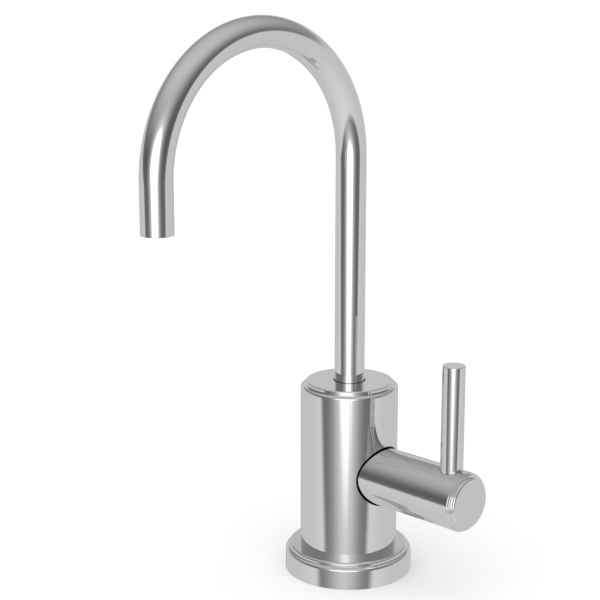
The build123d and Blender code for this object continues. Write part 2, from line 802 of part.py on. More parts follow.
# Hexagon nut that clamps the faucet to the deck
with BuildPart() as mounting_nut:
    with BuildSketch(Plane.XY.offset(nut_underside)):
        RegularPolygon(nut_across / 2, 6, major_radius=False)
        Circle(shank_radius + thread_clearance, mode=Mode.SUBTRACT)
    extrude(amount=nut_height)
    chamfer(rims(mounting_nut, shank_radius + thread_clearance), nut_chamfer)

# Brass sleeve that the inlet nut squeezes on to the supply tube
inlet_ferrule_top = shank_bottom - axial_clearance
with BuildPart() as inlet_ferrule:
    with BuildSketch(Plane.XZ):
        with BuildLine():
            middle = inlet_ferrule_top - inlet_ferrule_length / 2
            bottom = inlet_ferrule_top - inlet_ferrule_length
            Polyline(
                (supply_radius, inlet_ferrule_top),
                (supply_radius + inlet_ferrule_lip, inlet_ferrule_top),
                (inlet_ferrule_diameter / 2, middle),
                (supply_radius + inlet_ferrule_lip, bottom),
                (supply_radius, bottom),
                close=True,
            )
        make_face()
    revolve(axis=Axis.Z)

# Nut for the supply tube on the shank's lower end
inlet_nut_top = shank_bottom + inlet_nut_grip
inlet_nut_bottom = inlet_nut_top - inlet_nut_length
nut_floor = inlet_ferrule_top - inlet_ferrule_length
with BuildPart() as inlet_nut:
    with BuildSketch(Plane.XY.offset(inlet_nut_bottom)):
        RegularPolygon(inlet_nut_across / 2, 6, major_radius=False)
        Circle(supply_radius + slip_clearance, mode=Mode.SUBTRACT)
    extrude(amount=inlet_nut_length)
    with BuildSketch(Plane.XY.offset(nut_floor)):
        Circle(shank_radius + thread_clearance)
    extrude(amount=inlet_nut_top - nut_floor, mode=Mode.SUBTRACT)

pieces = {
    "base_flange": base_flange,
    "deck_seal": deck_seal,
    "body_shell": body_shell,
    "top_cap": top_cap,
    "spout_bushing": spout_bushing,
    "thrust_washer": thrust_washer,
    "spout_tube": spout_tube,
    "spout_ferrule": spout_ferrule,
    "spout_seal_lower": spout_seal_lower,
    "spout_seal_upper": spout_seal_upper,
    "outlet_straightener": outlet_straightener,
    "hub_bushing": hub_bushing,
    "cartridge_housing": cartridge_housing,
    "cartridge_seal": cartridge_seal,
    "seat_seal": seat_seal,
    "fixed_disc": fixed_disc,
    "moving_disc": moving_disc,
    "valve_spindle": valve_spindle,
    "spindle_seal": spindle_seal,
    "spindle_clip": spindle_clip,
    "handle_insert": handle_insert,
    "handle_hub": handle_hub,
    "hub_end_cap": hub_end_cap,
    "lever_pin": lever_pin,
    "lever_set_screw": lever_set_screw,
    "hub_set_screw": hub_set_screw,
    "mounting_shank": mounting_shank,
    "deck_washer": deck_washer,
    "backing_washer": backing_washer,
    "lock_washer": lock_washer,
    "mounting_nut": mounting_nut,
    "inlet_ferrule": inlet_ferrule,
    "inlet_nut": inlet_nut,
}

os.makedirs("parts", exist_ok=True)
for name, piece in pieces.items():
    piece.part.label = name
    export_step(piece.part, f"parts/{name}.step")
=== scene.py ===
import json
import math

import bpy
from mathutils import Matrix, Vector


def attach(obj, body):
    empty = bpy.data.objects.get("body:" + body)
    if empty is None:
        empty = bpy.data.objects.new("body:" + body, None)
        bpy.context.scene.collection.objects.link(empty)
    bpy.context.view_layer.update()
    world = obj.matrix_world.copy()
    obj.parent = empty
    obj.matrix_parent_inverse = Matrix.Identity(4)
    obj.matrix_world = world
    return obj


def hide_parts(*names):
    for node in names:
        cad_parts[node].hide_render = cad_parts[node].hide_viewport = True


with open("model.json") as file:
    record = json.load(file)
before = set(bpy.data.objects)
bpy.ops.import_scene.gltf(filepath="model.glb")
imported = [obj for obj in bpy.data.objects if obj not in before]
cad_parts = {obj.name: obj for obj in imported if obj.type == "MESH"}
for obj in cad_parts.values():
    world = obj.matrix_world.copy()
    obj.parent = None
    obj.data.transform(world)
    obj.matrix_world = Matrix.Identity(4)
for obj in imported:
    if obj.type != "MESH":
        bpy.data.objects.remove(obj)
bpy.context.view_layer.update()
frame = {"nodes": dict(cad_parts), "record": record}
nodes = frame["nodes"]
print("frame loaded:", len(nodes), "CAD nodes")

scene = bpy.context.scene
scene.view_settings.view_transform = "Standard"

mm = 0.001  # the sizes below are in millimetres
tiny = 1e-6  # anything nearer to an axis than this is on it
hubHeight = 45.8  # height of the hub's axis above the deck
leverX = 56.5  # distance of the lever's axis from the body's axis
hubScrewX = 24.2648  # distance of the hub's set screw from the body's axis
upwards = Vector((0, 0, 1))


# Shared helpers

# Sets a node's inputs, each from a plain value, a socket or a node
def setInputs(tree, node, inputs):
    for key, value in inputs.items():
        if isinstance(value, bpy.types.Node):
            value = value.outputs[0]
        if isinstance(value, bpy.types.NodeSocket):
            tree.links.new(value, node.inputs[key])
        else:
            node.inputs[key].default_value = value


# Adds one node with its settings and inputs
def addNode(tree, kind, inputs=None, **settings):
    node = tree.nodes.new(kind)
    for name, value in settings.items():
        setattr(node, name, value)
    setInputs(tree, node, inputs or {})
    return node


# Works sums out in a tree. Each line names its result, an operation and its terms: results of
# earlier lines, named sizes or plain numbers.
def addSums(tree, known, lines):
    for result, operation, *terms in lines:
        inputs = {}
        for place, term in enumerate(terms):
            inputs[place] = known[term] if isinstance(term, str) else term
        known[result] = addNode(tree, "ShaderNodeMath", inputs, operation=operation)


# What kind of ray meets a shader: the camera's own, or one that a mirror or a clear part sent
def addRayKinds(tree, known):
    light = addNode(tree, "ShaderNodeLightPath")
    known["cameraRay"] = light.outputs["Is Camera Ray"]
    known["glossyRay"] = light.outputs["Is Glossy Ray"]
    known["clearRay"] = light.outputs["Is Transmission Ray"]
    addSums(tree, known, [("mirrored", "MAXIMUM", "glossyRay", "clearRay")])


# Unit direction for an azimuth (0 along -Y, 90 along +X) and an elevation, in degrees
def direction(azimuth, elevation):
    turn = math.radians(azimuth)
    rise = math.radians(elevation)
    return Vector((
        math.sin(turn) * math.cos(rise),
        -math.cos(turn) * math.cos(rise),
        math.sin(rise),
    ))


# Camera

# fitted to the photograph: a long lens from the front right, a little above
viewpoint = {
    "target": (-14.874, -14.765, 118.60),
    "azimuth": 44.789,
    "elevation": 13.340,
    "distance": 638.87,
    "focalLength": 91.506,
    "sensorWidth": 36.0,
}


def makeCamera(values):
    camera = bpy.data.cameras.new("photoCamera")
    camera.lens = values["focalLength"]
    camera.sensor_width = values["sensorWidth"]
    back = direction(values["azimuth"], values["elevation"])
    holder = bpy.data.objects.new("photoCamera", camera)
    holder.location = (Vector(values["target"]) + back * values["distance"]) * mm
    holder.rotation_euler = back.to_track_quat("Z", "Y").to_euler()
    scene.collection.objects.link(holder)
    scene.camera = holder


makeCamera(viewpoint)
print("camera placed")


# Studio

# What the metal mirrors: a sheet of white paper below and behind the faucet, cut straight at the
# front, a dark room beyond its edge, a grey ceiling and one soft box beside the camera. A strip
# light behind gives the far side its shine. A height is the upward part of a ray one long, and a
# lamp's width is a slope off its direction.
studio = {
    "facing": 37.06,  # azimuth that the sheet's cut edge faces
    "edgeDrop": 0.6372,  # how far below the horizon the edge lies ahead, and above it behind
    "edgeRise": 0.4966,
    "edgeHeight": -0.0493,
    "edgeSideways": -0.0103,  # how the edge leans and bows to the sides
    "edgeBow": -0.0582,
    "edgeSoftness": 0.065,
    "paper": 0.6475,
    "paperAhead": 0.0351,  # the sheet is brighter towards the soft box, and more so in front
    "paperNear": 0.1498,
    "roomLow": 0.0647,  # the room's brightness at the horizon and at the ceiling
    "roomHigh": 0.6665,
    "roomLowAt": 0.0566,
    "roomHighAt": 1.3,
    "roomAhead": 0.3917,  # shares by which the room is lighter ahead and aside, darker behind
    "roomBehind": 0.0934,
    "roomAside": 0.4884,
    "rimLight": 1.2196,  # the room is lighter just beyond the sheet's edge
    "rimReach": 0.1424,
    "boxAzimuth": 35.68,
    "boxElevation": 2.4,
    "boxWidth": 0.4845,  # from its middle to its rim, as are its rise and its drop
    "boxRise": 0.385,
    "boxDrop": 0.411,
    "boxRim": 1.0,
    "boxSoftness": 0.1407,
    "boxBrightness": 1.4,
    "glow": 0.6504,  # the light that the soft box spills on the room round it
    "glowReach": 0.539,
    "stripAzimuth": 225.0,  # a narrow light between two dark flags, straight behind
    "stripWidth": 0.09,
    "stripSoftness": 0.03,
    "stripBrightness": 1.25,
    "flagWidth": 0.28,
    "flagSoftness": 0.05,
    "flagDarkness": 0.6,
    "stripMiddle": -0.23,  # the strip and its flags stand from the floor up to the horizon
    "stripReach": 0.21,
    "stripEndSoftness": 0.04,
    "grazing": 0.05,  # keeps a ray that points away from a lamp from being divided by nothing
    "plainLevel": 0.75,  # even light on everything that isn't a mirror
    "white": 1.0,  # what the camera sees behind the faucet
}


# How far a ray points towards each of the studio's directions
def measureRay(tree, known):
    ray = addNode(tree, "ShaderNodeTexCoord").outputs["Generated"]
    facing = direction(known["facing"], 0)
    box = direction(known["boxAzimuth"], known["boxElevation"])
    boxSide = upwards.cross(box).normalized()
    strip = direction(known["stripAzimuth"], 0)
    for result, axis in {
        "height": upwards,
        "ahead": facing,
        "sideways": upwards.cross(facing),
        "towardsBox": box,
        "besideBox": boxSide,
        "aboveBox": box.cross(boxSide),
        "towardsStrip": strip,
        "besideStrip": upwards.cross(strip),
    }.items():
        dot = addNode(tree, "ShaderNodeVectorMath", {0: ray, 1: axis}, operation="DOT_PRODUCT")
        known[result] = dot.outputs["Value"]
    addSums(tree, known, [
        ("inFront", "MAXIMUM", "ahead", 0.0),
        ("behind", "MINIMUM", "ahead", 0.0),
        ("bow", "MULTIPLY", "sideways", "sideways"),
        # height over the sheet, whose edge lies below the horizon ahead and above it behind
        ("rise", "MULTIPLY_ADD", "inFront", "edgeDrop", "height"),
        ("rise", "MULTIPLY_ADD", "behind", "edgeRise", "rise"),
        ("rise", "MULTIPLY_ADD", "sideways", "edgeSideways", "rise"),
        ("rise", "MULTIPLY_ADD", "bow", "edgeBow", "rise"),
        # how far off the soft box's middle it goes: 1 on the box's rim
        ("boxAcross", "DIVIDE", "besideBox", "boxWidth"),
        ("boxSquare", "MULTIPLY", "boxAcross", "boxAcross"),
        ("boxOver", "DIVIDE", "aboveBox", "boxRise"),
        ("boxUnder", "DIVIDE", "aboveBox", -known["boxDrop"]),
        ("boxUp", "MAXIMUM", "boxOver", "boxUnder"),
        ("boxSquare", "MULTIPLY_ADD", "boxUp", "boxUp", "boxSquare"),
        ("offBox", "SQRT", "boxSquare"),
        ("boxFacing", "MAXIMUM", "towardsBox", "grazing"),
        ("offBox", "DIVIDE", "offBox", "boxFacing"),
        # how far aside of the strip light it goes, and above or below the strip's middle
        ("offStrip", "ABSOLUTE", "besideStrip"),
        ("stripFacing", "MAXIMUM", "towardsStrip", "grazing"),
        ("offStrip", "DIVIDE", "offStrip", "stripFacing"),
        ("stripUp", "SUBTRACT", "height", "stripMiddle"),
        ("stripUp", "ABSOLUTE", "stripUp"),
    ])


# The masks are 1 inside their border and fade out over a softness on either side of it
def addMasks(tree, known):
    for mask, distance, border, softness in [
        ("paperMask", "rise", "edgeHeight", "edgeSoftness"),
        ("boxMask", "offBox", "boxRim", "boxSoftness"),
        ("flagMask", "offStrip", "flagWidth", "flagSoftness"),
        ("stripMask", "offStrip", "stripWidth", "stripSoftness"),
        ("standing", "stripUp", "stripReach", "stripEndSoftness"),
    ]:
        known[mask] = addNode(tree, "ShaderNodeMapRange", {
            "Value": known[distance],
            "From Min": known[border] - known[softness],
            "From Max": known[border] + known[softness],
            "To Min": 1.0,
            "To Max": 0.0,
        }, interpolation_type="SMOOTHSTEP")
    addSums(tree, known, [
        ("flagMask", "MULTIPLY", "flagMask", "standing"),
        ("stripMask", "MULTIPLY", "stripMask", "standing"),
        ("unflagged", "MULTIPLY_ADD", "flagMask", -known["flagDarkness"], 1.0),
    ])


# The brightness of the paper and of the room
def lightRoom(tree, known):
    known["room"] = addNode(tree, "ShaderNodeMapRange", {
        "Value": known["height"],
        "From Min": known["roomLowAt"],
        "From Max": known["roomHighAt"],
        "To Min": known["roomLow"],
        "To Max": known["roomHigh"],
    }, interpolation_type="SMOOTHSTEP")
    addSums(tree, known, [
        ("paper", "MULTIPLY_ADD", "ahead", "paperAhead", "paper"),
        ("paper", "MULTIPLY_ADD", "inFront", "paperNear", "paper"),
        ("share", "MULTIPLY_ADD", "inFront", "roomAhead", 1.0),
        ("share", "MULTIPLY_ADD", "behind", "roomBehind", "share"),
        ("share", "MULTIPLY_ADD", "bow", "roomAside", "share"),
        ("room", "MULTIPLY", "room", "share"),
        # the soft box's spill fades with the distance from its rim
        ("beyond", "SUBTRACT", "offBox", "boxRim"),
        ("beyond", "MAXIMUM", "beyond", 0.0),
        ("beyond", "DIVIDE", "beyond", -known["glowReach"]),
        ("spill", "EXPONENT", "beyond"),
        ("room", "MULTIPLY_ADD", "spill", "glow", "room"),
        # so does the light just beyond the paper's edge
        ("past", "SUBTRACT", "rise", "edgeHeight"),
        ("past", "MAXIMUM", "past", 0.0),
        ("past", "DIVIDE", "past", -known["rimReach"]),
        ("rim", "EXPONENT", "past"),
        ("rim", "MULTIPLY_ADD", "rim", "rimLight", 1.0),
        ("room", "MULTIPLY", "room", "rim"),
    ])


def makeStudio(values):
    world = bpy.data.worlds.new("studio")
    scene.world = world
    world.use_nodes = True
    tree = world.node_tree
    tree.nodes.clear()
    known = dict(values)
    measureRay(tree, known)
    addMasks(tree, known)
    lightRoom(tree, known)
    addRayKinds(tree, known)
    level = addNode(tree, "ShaderNodeMix", {0: known["paperMask"], 2: known["room"], 3: known["paper"]})
    level = addNode(tree, "ShaderNodeMix", {0: known["boxMask"], 2: level, 3: known["boxBrightness"]})
    level = addNode(tree, "ShaderNodeMath", {0: level, 1: known["unflagged"]}, operation="MULTIPLY")
    level = addNode(tree, "ShaderNodeMix", {0: known["stripMask"], 2: level, 3: known["stripBrightness"]})
    # mirrors and clear parts see the studio, camera rays see plain white, the rest is lit evenly
    level = addNode(tree, "ShaderNodeMix", {0: known["mirrored"], 2: known["plainLevel"], 3: level})
    level = addNode(tree, "ShaderNodeMix", {0: known["cameraRay"], 2: level, 3: known["white"]})
    shell = addNode(tree, "ShaderNodeBackground", {"Color": level, "Strength": 1.0})
    addNode(tree, "ShaderNodeOutputWorld", {"Surface": shell})


makeStudio(studio)

# a wide soft lamp above the camera's side gives the plain surfaces their shape
softLamp = {
    "azimuth": 36.0,
    "elevation": 52.0,
    "strength": 0.75,
    "spread": 75.0,
}


def makeLamp(values):
    lamp = bpy.data.lights.new("softLamp", "SUN")
    lamp.energy = values["strength"]
    lamp.angle = math.radians(values["spread"])
    holder = bpy.data.objects.new("softLamp", lamp)
    towards = direction(values["azimuth"], values["elevation"])
    holder.rotation_euler = towards.to_track_quat("Z", "Y").to_euler()
    holder.visible_glossy = False
    scene.collection.objects.link(holder)


makeLamp(softLamp)
print("studio lit")


# Materials

# Each finish has noise in patches, which picks between a dark and a light tone and between the
# least and the most roughness, gloss and haze. A finer noise is its grain. Widths and depths are
# millimetres, and shader holds the shader's own plain values.

# sRGB hex to the linear colour that shaders take
def hexColour(code):
    parts = [int(code[i:i + 2], 16) / 255 for i in (1, 3, 5)]
    linear = [p / 12.92 if p <= 0.04045 else ((p + 0.055) / 1.055) ** 2.4 for p in parts]
    return (*linear, 1.0)


# Starts a material on the object's own coordinates, with its patterns and its colour. A pattern
# of its own may take the place of its grain or its tones.
def newMaterial(name, values, addOwnPattern=None):
    material = bpy.data.materials.new(name)
    material.use_nodes = True
    tree = material.node_tree
    known = {"coords": addNode(tree, "ShaderNodeTexCoord").outputs["Object"]}
    for pattern in ("patch", "grain"):
        if pattern + "Width" in values:
            known[pattern] = addNode(tree, "ShaderNodeTexNoise", {
                "Vector": known["coords"],
                "Scale": 1 / (values[pattern + "Width"] * mm),
                "Detail": values[pattern + "Detail"],
                "Distortion": values.get("distortion", 0),
            })
    if addOwnPattern:
        addOwnPattern(tree, values, known)
    tint = addNode(tree, "ShaderNodeMix", {
        0: known.get("tones", known["patch"]),
        6: hexColour(values["dark"]),
        7: hexColour(values["light"]),
    }, data_type="RGBA")
    setInputs(tree, tree.nodes["Principled BSDF"], {"Base Color": tint.outputs[2]})
    return material, tree, known


# A whole material, where the patches change the gloss and the grain is raised
def makeMaterial(name, values, addOwnPattern=None):
    material, tree, known = newMaterial(name, values, addOwnPattern)
    setInputs(tree, tree.nodes["Principled BSDF"], {
        "Roughness": addNode(tree, "ShaderNodeMapRange", {
            "Value": known["patch"], "To Min": values["gloss"], "To Max": values["haze"],
        }),
        "Normal": addNode(tree, "ShaderNodeBump", {
            "Height": known.get("grain", known["patch"]), "Distance": values["grainDepth"] * mm,
        }),
        **values["shader"],
    })
    return material


# Bright nickel-chromium plate over buffed brass: a clean grey mirror. Long faint waves left by
# the buffing wheel bend its reflections a little, and its haze varies from place to place.
chromePlate = {
    "dark": "#E8E8E8",
    "light": "#EBEBEB",
    "patchWidth": 14.3,
    "patchDetail": 4,
    "gloss": 0.015,
    "haze": 0.05,
    "grainWidth": 6.25,  # the waves
    "grainDetail": 1,
    "grainDepth": 0.003,
    "shader": {"Metallic": 1},
}

# Free-cutting brass, turned and left bare: warm yellow with fine rings from the tool. The rings
# are 0.3 mm apart, three times coarser than the real feed, so that they show.
bareBrass = {
    "dark": "#D8B466",
    "light": "#E6C982",
    "patchWidth": 5.56,
    "patchDetail": 5,
    "gloss": 0.20,
    "haze": 0.34,
    "toolRing": 0.3,
    "grainDepth": 0.006,
    "shader": {"Metallic": 1},
}


def addToolRings(tree, values, known):
    known["grain"] = addNode(tree, "ShaderNodeTexWave", {
        "Vector": known["coords"],
        "Scale": 2 * math.pi / (20 * values["toolRing"] * mm),  # it repeats every 2 pi / 20
        "Distortion": 0.4,
        "Detail": 2,
    }, wave_type="BANDS", bands_direction="Z")


# Stainless 304 sheet and bar, stamped and tumbled: a soft grey sheen with tiny dents
stainless = {
    "dark": "#B4B3B0",
    "light": "#C6C5C1",
    "patchWidth": 4.55,
    "patchDetail": 3,
    "gloss": 0.24,
    "haze": 0.40,
    "grainWidth": 0.714,  # the dents
    "grainDetail": 3,
    "grainDepth": 0.012,
    "shader": {"Metallic": 1},
}

# Black EPDM rubber, compression moulded: matt, almost black, with a fine mould grain and a
# dusty bloom in patches
rubber = {
    "dark": "#191919",
    "light": "#2A2A2B",
    "patchWidth": 4.17,
    "patchDetail": 5,
    "gloss": 0.62,
    "haze": 0.82,
    "grainWidth": 0.4,
    "grainDetail": 2,
    "grainDepth": 0.02,
    "shader": {"IOR": 1.52},
}

# Nylon, injection moulded: waxy, with faint flow marks, and it lets a little light in
whiteNylon = {
    "dark": "#DEDBD2",
    "light": "#ECEAE3",
    "patchWidth": 3.33,
    "patchDetail": 3,
    "distortion": 1.2,
    "gloss": 0.30,
    "haze": 0.44,
    "grainDepth": 0.008,
    "shader": {
        "IOR": 1.48,
        "Subsurface Weight": 0.25,
        "Subsurface Radius": (0.9, 0.8, 0.7),
        "Subsurface Scale": mm,
    },
}

# Acetal, injection moulded: the same waxy flow marks on solid black
blackAcetal = {**whiteNylon, "dark": "#121213", "light": "#1E1E20", "shader": {"IOR": 1.48}}

# Alumina valve discs, sintered and lapped: ivory white, hard and glossy, with fine grey specks
alumina = {
    "dark": "#DDD9CF",
    "light": "#F1EEE6",
    "speckWidth": 0.77,
    "patchWidth": 1.11,
    "patchDetail": 3,
    "gloss": 0.08,
    "haze": 0.18,
    "grainDepth": 0.002,
    "shader": {"IOR": 1.76},
}


def addSpecks(tree, values, known):
    specks = addNode(tree, "ShaderNodeTexVoronoi", {
        "Vector": known["coords"], "Scale": 1 / (values["speckWidth"] * mm),
    })
    known["tones"] = addNode(tree, "ShaderNodeMapRange", {
        "Value": specks.outputs["Distance"], "From Max": 0.5,
    })


materials = {
    "polished_chrome": makeMaterial("chromePlateBuffed", chromePlate),
    "turned_brass": makeMaterial("brassTurned", bareBrass, addToolRings),
    "stainless_steel": makeMaterial("stainlessTumbled", stainless),
    "black_rubber": makeMaterial("rubberMoulded", rubber),
    "white_nylon": makeMaterial("nylonMoulded", whiteNylon),
    "black_acetal": makeMaterial("acetalMoulded", blackAcetal),
    "valve_ceramic": makeMaterial("aluminaLapped", alumina, addSpecks),
}
nodeSlots = {part["node"]: part["material_slot"] for part in frame["record"]["subparts"]}
for name, node in nodes.items():
    for place in node.material_slots:
        place.material = materials[nodeSlots[name]]
print("materials made:", len(materials))


# Turned pieces

ringSteps = 256  # facets round a turned piece
nutSteps = 192  # round a nut's blank
smallSteps = 128  # round a drill or a washer
roundSteps = 6  # steps in a rounded edge
overrun = 1.0  # how far a cutter runs past what it cuts
closeBy = 0.02  # a face this near to an outline step or a drill's wall lies on it
agreeing = 0.9  # if their normals also agree by this cosine

upright = Matrix.Identity(4)
alongHub = Matrix.Translation((0, 0, hubHeight)) @ Matrix.Rotation(math.pi / 2, 4, "Y")
alongLever = Matrix.Translation((leverX, 0, 0))
downHubScrew = Matrix.Translation((hubScrewX, 0, hubHeight)) @ Matrix.Rotation(math.pi, 4, "X")


# The points and outward normals round one corner of an outline
def cornerArc(before, corner, after):
    here = Vector(corner[:2])
    if len(corner) < 3:
        return [(here, None)]
    radius = corner[2]
    into = (here - Vector(before[:2])).normalized()
    away = (Vector(after[:2]) - here).normalized()
    turn = into.angle_signed(away) * -1  # positive for a left turn, a convex edge
    reach = radius * math.tan(abs(turn) / 2)
    start = here - into * reach
    side = math.copysign(1, turn)
    outward = Vector((into.y, -into.x))
    centre = start - outward * radius * side
    points = []
    for step in range(roundSteps + 1):
        angle = turn * step / roundSteps
        normal = Matrix.Rotation(angle, 2) @ outward
        points.append((centre + normal * radius * side, normal))
    return points


# An outline's straight and rounded steps. Corners are (radius, height) or (radius, height, edge
# round), anticlockwise, in named sizes or numbers. Each step holds its two ends and their normals.
def outlineSteps(values, corners):
    sized = [[values[size] if isinstance(size, str) else size for size in corner] for corner in corners]
    count = len(sized)
    arcs = []
    for index, corner in enumerate(sized):
        arcs.append(cornerArc(sized[index - 1], corner, sized[(index + 1) % count]))
    steps = []
    for index, arc in enumerate(arcs):
        for (a, aNormal), (b, bNormal) in zip(arc, arc[1:]):
            steps.append((a, aNormal, b, bNormal))
        a = arc[-1][0]
        b = arcs[(index + 1) % count][0][0]
        if a.x < tiny and b.x < tiny:
            continue  # this step lies on the axis
        along = (b - a).normalized()
        outward = Vector((along.y, -along.x))
        steps.append((a, outward, b, outward))
    return steps


# A closed mesh turned from an outline about the place's own Z axis
def turnPiece(name, steps, place, rings=ringSteps):
    points = []
    circles = {}
    faces = []
    for a, _, b, _ in steps:
        starts = []
        for end in (a, b):
            key = (round(end.x, 5), round(end.y, 5))
            if key not in circles:
                circles[key] = len(points)
                for k in range(1 if end.x < tiny else rings):
                    angle = 2 * math.pi * k / rings
                    spot = Vector((end.x * math.cos(angle), end.x * math.sin(angle), end.y))
                    points.append(place @ spot * mm)
            starts.append(circles[key])
        first, second = starts
        for k in range(rings):
            after = (k + 1) % rings
            if a.x < tiny:
                faces.append((first, second + after, second + k))
            elif b.x < tiny:
                faces.append((first + k, first + after, second))
            else:
                faces.append((first + k, first + after, second + after, second + k))
    mesh = bpy.data.meshes.new(name)
    mesh.from_pydata(points, [], faces)
    piece = bpy.data.objects.new(name, mesh)
    scene.collection.objects.link(piece)
    return piece


# A plain round drill, turned like a piece, that starts at a height and ends at another
def makeDrill(radius, start, end, place):
    corners = [(0, start), (radius, start), (radius, end), (0, end)]
    return turnPiece("drill", outlineSteps({}, corners), place, smallSteps)


# Bakes an object's modifiers into its mesh
def bakeModifiers(piece):
    graph = bpy.context.evaluated_depsgraph_get()
    graph.update()
    mesh = bpy.data.meshes.new_from_object(piece.evaluated_get(graph))
    old = piece.data
    piece.modifiers.clear()
    piece.data = mesh
    mesh.name = piece.name
    bpy.data.meshes.remove(old)


# Cuts a piece with others, which are used up
def cutWith(piece, cutters, operation="DIFFERENCE"):
    for cutter in cutters:
        cut = piece.modifiers.new("cut", "BOOLEAN")
        cut.solver = "EXACT"
        cut.operation = operation
        cut.object = cutter
    bakeModifiers(piece)
    for cutter in cutters:
        bpy.data.objects.remove(cutter)


# How far a point lies off an outline step, and the normal at the step's nearest place
def measureStep(step, point):
    a, aNormal, b, bNormal = step
    along = b - a
    share = max(0, min(1, (point - a).dot(along) / along.length_squared))
    return (point - a - along * share).length, aNormal.lerp(bNormal, share)


# The outline step that a face lies on, if any
def stepOf(polygon, steps, back):
    centre = back @ (polygon.center / mm)
    middle = Vector((math.hypot(centre.x, centre.y), centre.z))
    outward = Vector((centre.x, centre.y, 0)).normalized()
    flat = back.to_3x3() @ polygon.normal
    facing = Vector((flat.dot(outward), flat.z))
    nearest = closeBy
    found = None
    for step in steps:
        gap, normal = measureStep(step, middle)
        if gap < nearest and facing.dot(normal) > agreeing:
            nearest = gap
            found = step
    return found


# The place of the drill whose wall a face lies on, if any
def drillOf(polygon, drills):
    found = None
    for radius, _, _, place in drills:
        spot = place.inverted() @ (polygon.center / mm)
        inward = place.to_3x3() @ Vector((-spot.x, -spot.y, 0)).normalized()
        offWall = abs(math.hypot(spot.x, spot.y) - radius)
        if offWall < closeBy and inward.dot(polygon.normal) > agreeing:
            found = place
    return found


# True normals for a turned piece: a mirror shows every facet otherwise. A face takes them from
# the outline step that it lies on, one in a drilled hole from the hole's axis, any other is flat.
def shadeTurned(piece, steps, place, drills=()):
    mesh = piece.data
    back = place.inverted()
    spin = place.to_3x3()
    normals = []
    for polygon in mesh.polygons:
        drilled = drillOf(polygon, drills)
        step = stepOf(polygon, steps, back)
        for corner in polygon.vertices:
            point = mesh.vertices[corner].co / mm
            normal = polygon.normal
            if drilled is not None:
                spot = drilled.inverted() @ point
                normal = drilled.to_3x3() @ Vector((-spot.x, -spot.y, 0))
            elif step is not None:
                spot = back @ point
                outward = Vector((spot.x, spot.y, 0)).normalized()
                _, tilt = measureStep(step, Vector((math.hypot(spot.x, spot.y), spot.z)))
                normal = spin @ (outward * tilt.x + upwards * tilt.y)
            normals.append(normal.normalized())
    mesh.polygons.foreach_set("use_smooth", [True] * len(mesh.polygons))
    mesh.normals_split_custom_set(normals)


# Turns a piece, drills it and gives it true normals. A drill is (radius, start, end, place).
def makeTurned(name, values, corners, place, drills=(), rings=ringSteps):
    steps = outlineSteps(values, corners)
    piece = turnPiece(name, steps, place, rings)
    if drills:
        cutWith(piece, [makeDrill(*drill) for drill in drills])
    shadeTurned(piece, steps, place, drills)
    return piece


# Gives a finished piece its material and its place in the assembly
def settle(piece, slotName, body, *replaced):
    piece.data.materials.clear()
    piece.data.materials.append(materials[slotName])
    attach(piece, body)
    if replaced:
        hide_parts(*replaced)


# Deck flange: a flat step stands inside a rounded edge
flange = {
    "bore": 16.0,
    "radius": 27.1,
    "edgeHeight": 9.45,
    "edgeRound": 1.45,
    "stepRadius": 25.6,
    "stepTop": 11.15,
    "stepRound": 0.9,
    "grooveInner": 20.5,
    "grooveOuter": 24.0,
    "grooveDepth": 1.8,
}


def makeFlange(values):
    piece = makeTurned("deckFlange", values, [
        ("bore", 0),
        ("grooveInner", 0),
        ("grooveInner", "grooveDepth"),
        ("grooveOuter", "grooveDepth"),
        ("grooveOuter", 0),
        ("radius", 0),
        ("radius", "edgeHeight", "edgeRound"),
        ("stepRadius", "edgeHeight"),
        ("stepRadius", "stepTop", "stepRound"),
        ("bore", "stepTop"),
    ], upright)
    settle(piece, "polished_chrome", "body", "base_flange")


makeFlange(flange)
print("flange made")

# Body: a turned cylinder on a spigot, bored from the top and from the side
bodyTurning = {
    "radius": 20.65,
    "top": 82.3,
    "edgeRound": 1.35,
    "foot": 11.15,
    "spigotRadius": 15.9,
    "spigotFoot": 1.5,
    "capThread": 15.5,
    "shoulder": 72.0,
    "bushingBore": 10.9,
    "washerSeat": 65.8,
    "ferruleBore": 8.05,
    "ferruleFloor": 57.5,
    "sideHole": 12.85,
    "sideHoleFloor": 10.7648,
    "sideHoleEnd": 25.65,  # outside the body
    "valveBore": 8.38,
    "valveFloor": -8.4352,
    "outletPassage": 4.0,
    "shankBore": 5.605,
    "shankBoreTop": 16.0,
}


def makeBody(values):
    piece = makeTurned("faucetBody", values, [
        (0, "spigotFoot"),
        ("spigotRadius", "spigotFoot"),
        ("spigotRadius", "foot"),
        ("radius", "foot"),
        ("radius", "top", "edgeRound"),
        ("capThread", "top"),
        ("capThread", "shoulder"),
        ("bushingBore", "shoulder"),
        ("bushingBore", "washerSeat"),
        ("ferruleBore", "washerSeat"),
        ("ferruleBore", "ferruleFloor"),
        (0, "ferruleFloor"),
    ], upright, [
        (values["sideHole"], values["sideHoleFloor"], values["sideHoleEnd"], alongHub),
        (values["valveBore"], values["valveFloor"], values["sideHoleFloor"] + overrun, alongHub),
        (values["outletPassage"], hubHeight, values["ferruleFloor"] + overrun, upright),
        (values["shankBore"], values["spigotFoot"] - overrun, values["shankBoreTop"], upright),
    ])
    settle(piece, "polished_chrome", "body", "body_shell")


makeBody(bodyTurning)
print("body made")

# Cap screwed into the body's top, seen as a raised disc round the tube
cap = {
    "hole": 6.8,
    "bushingBore": 10.9,
    "threadRadius": 15.45,
    "radius": 18.5,
    "skirtFoot": 72.0,
    "seat": 82.3,
    "top": 83.95,
    "edgeRound": 0.5,
}


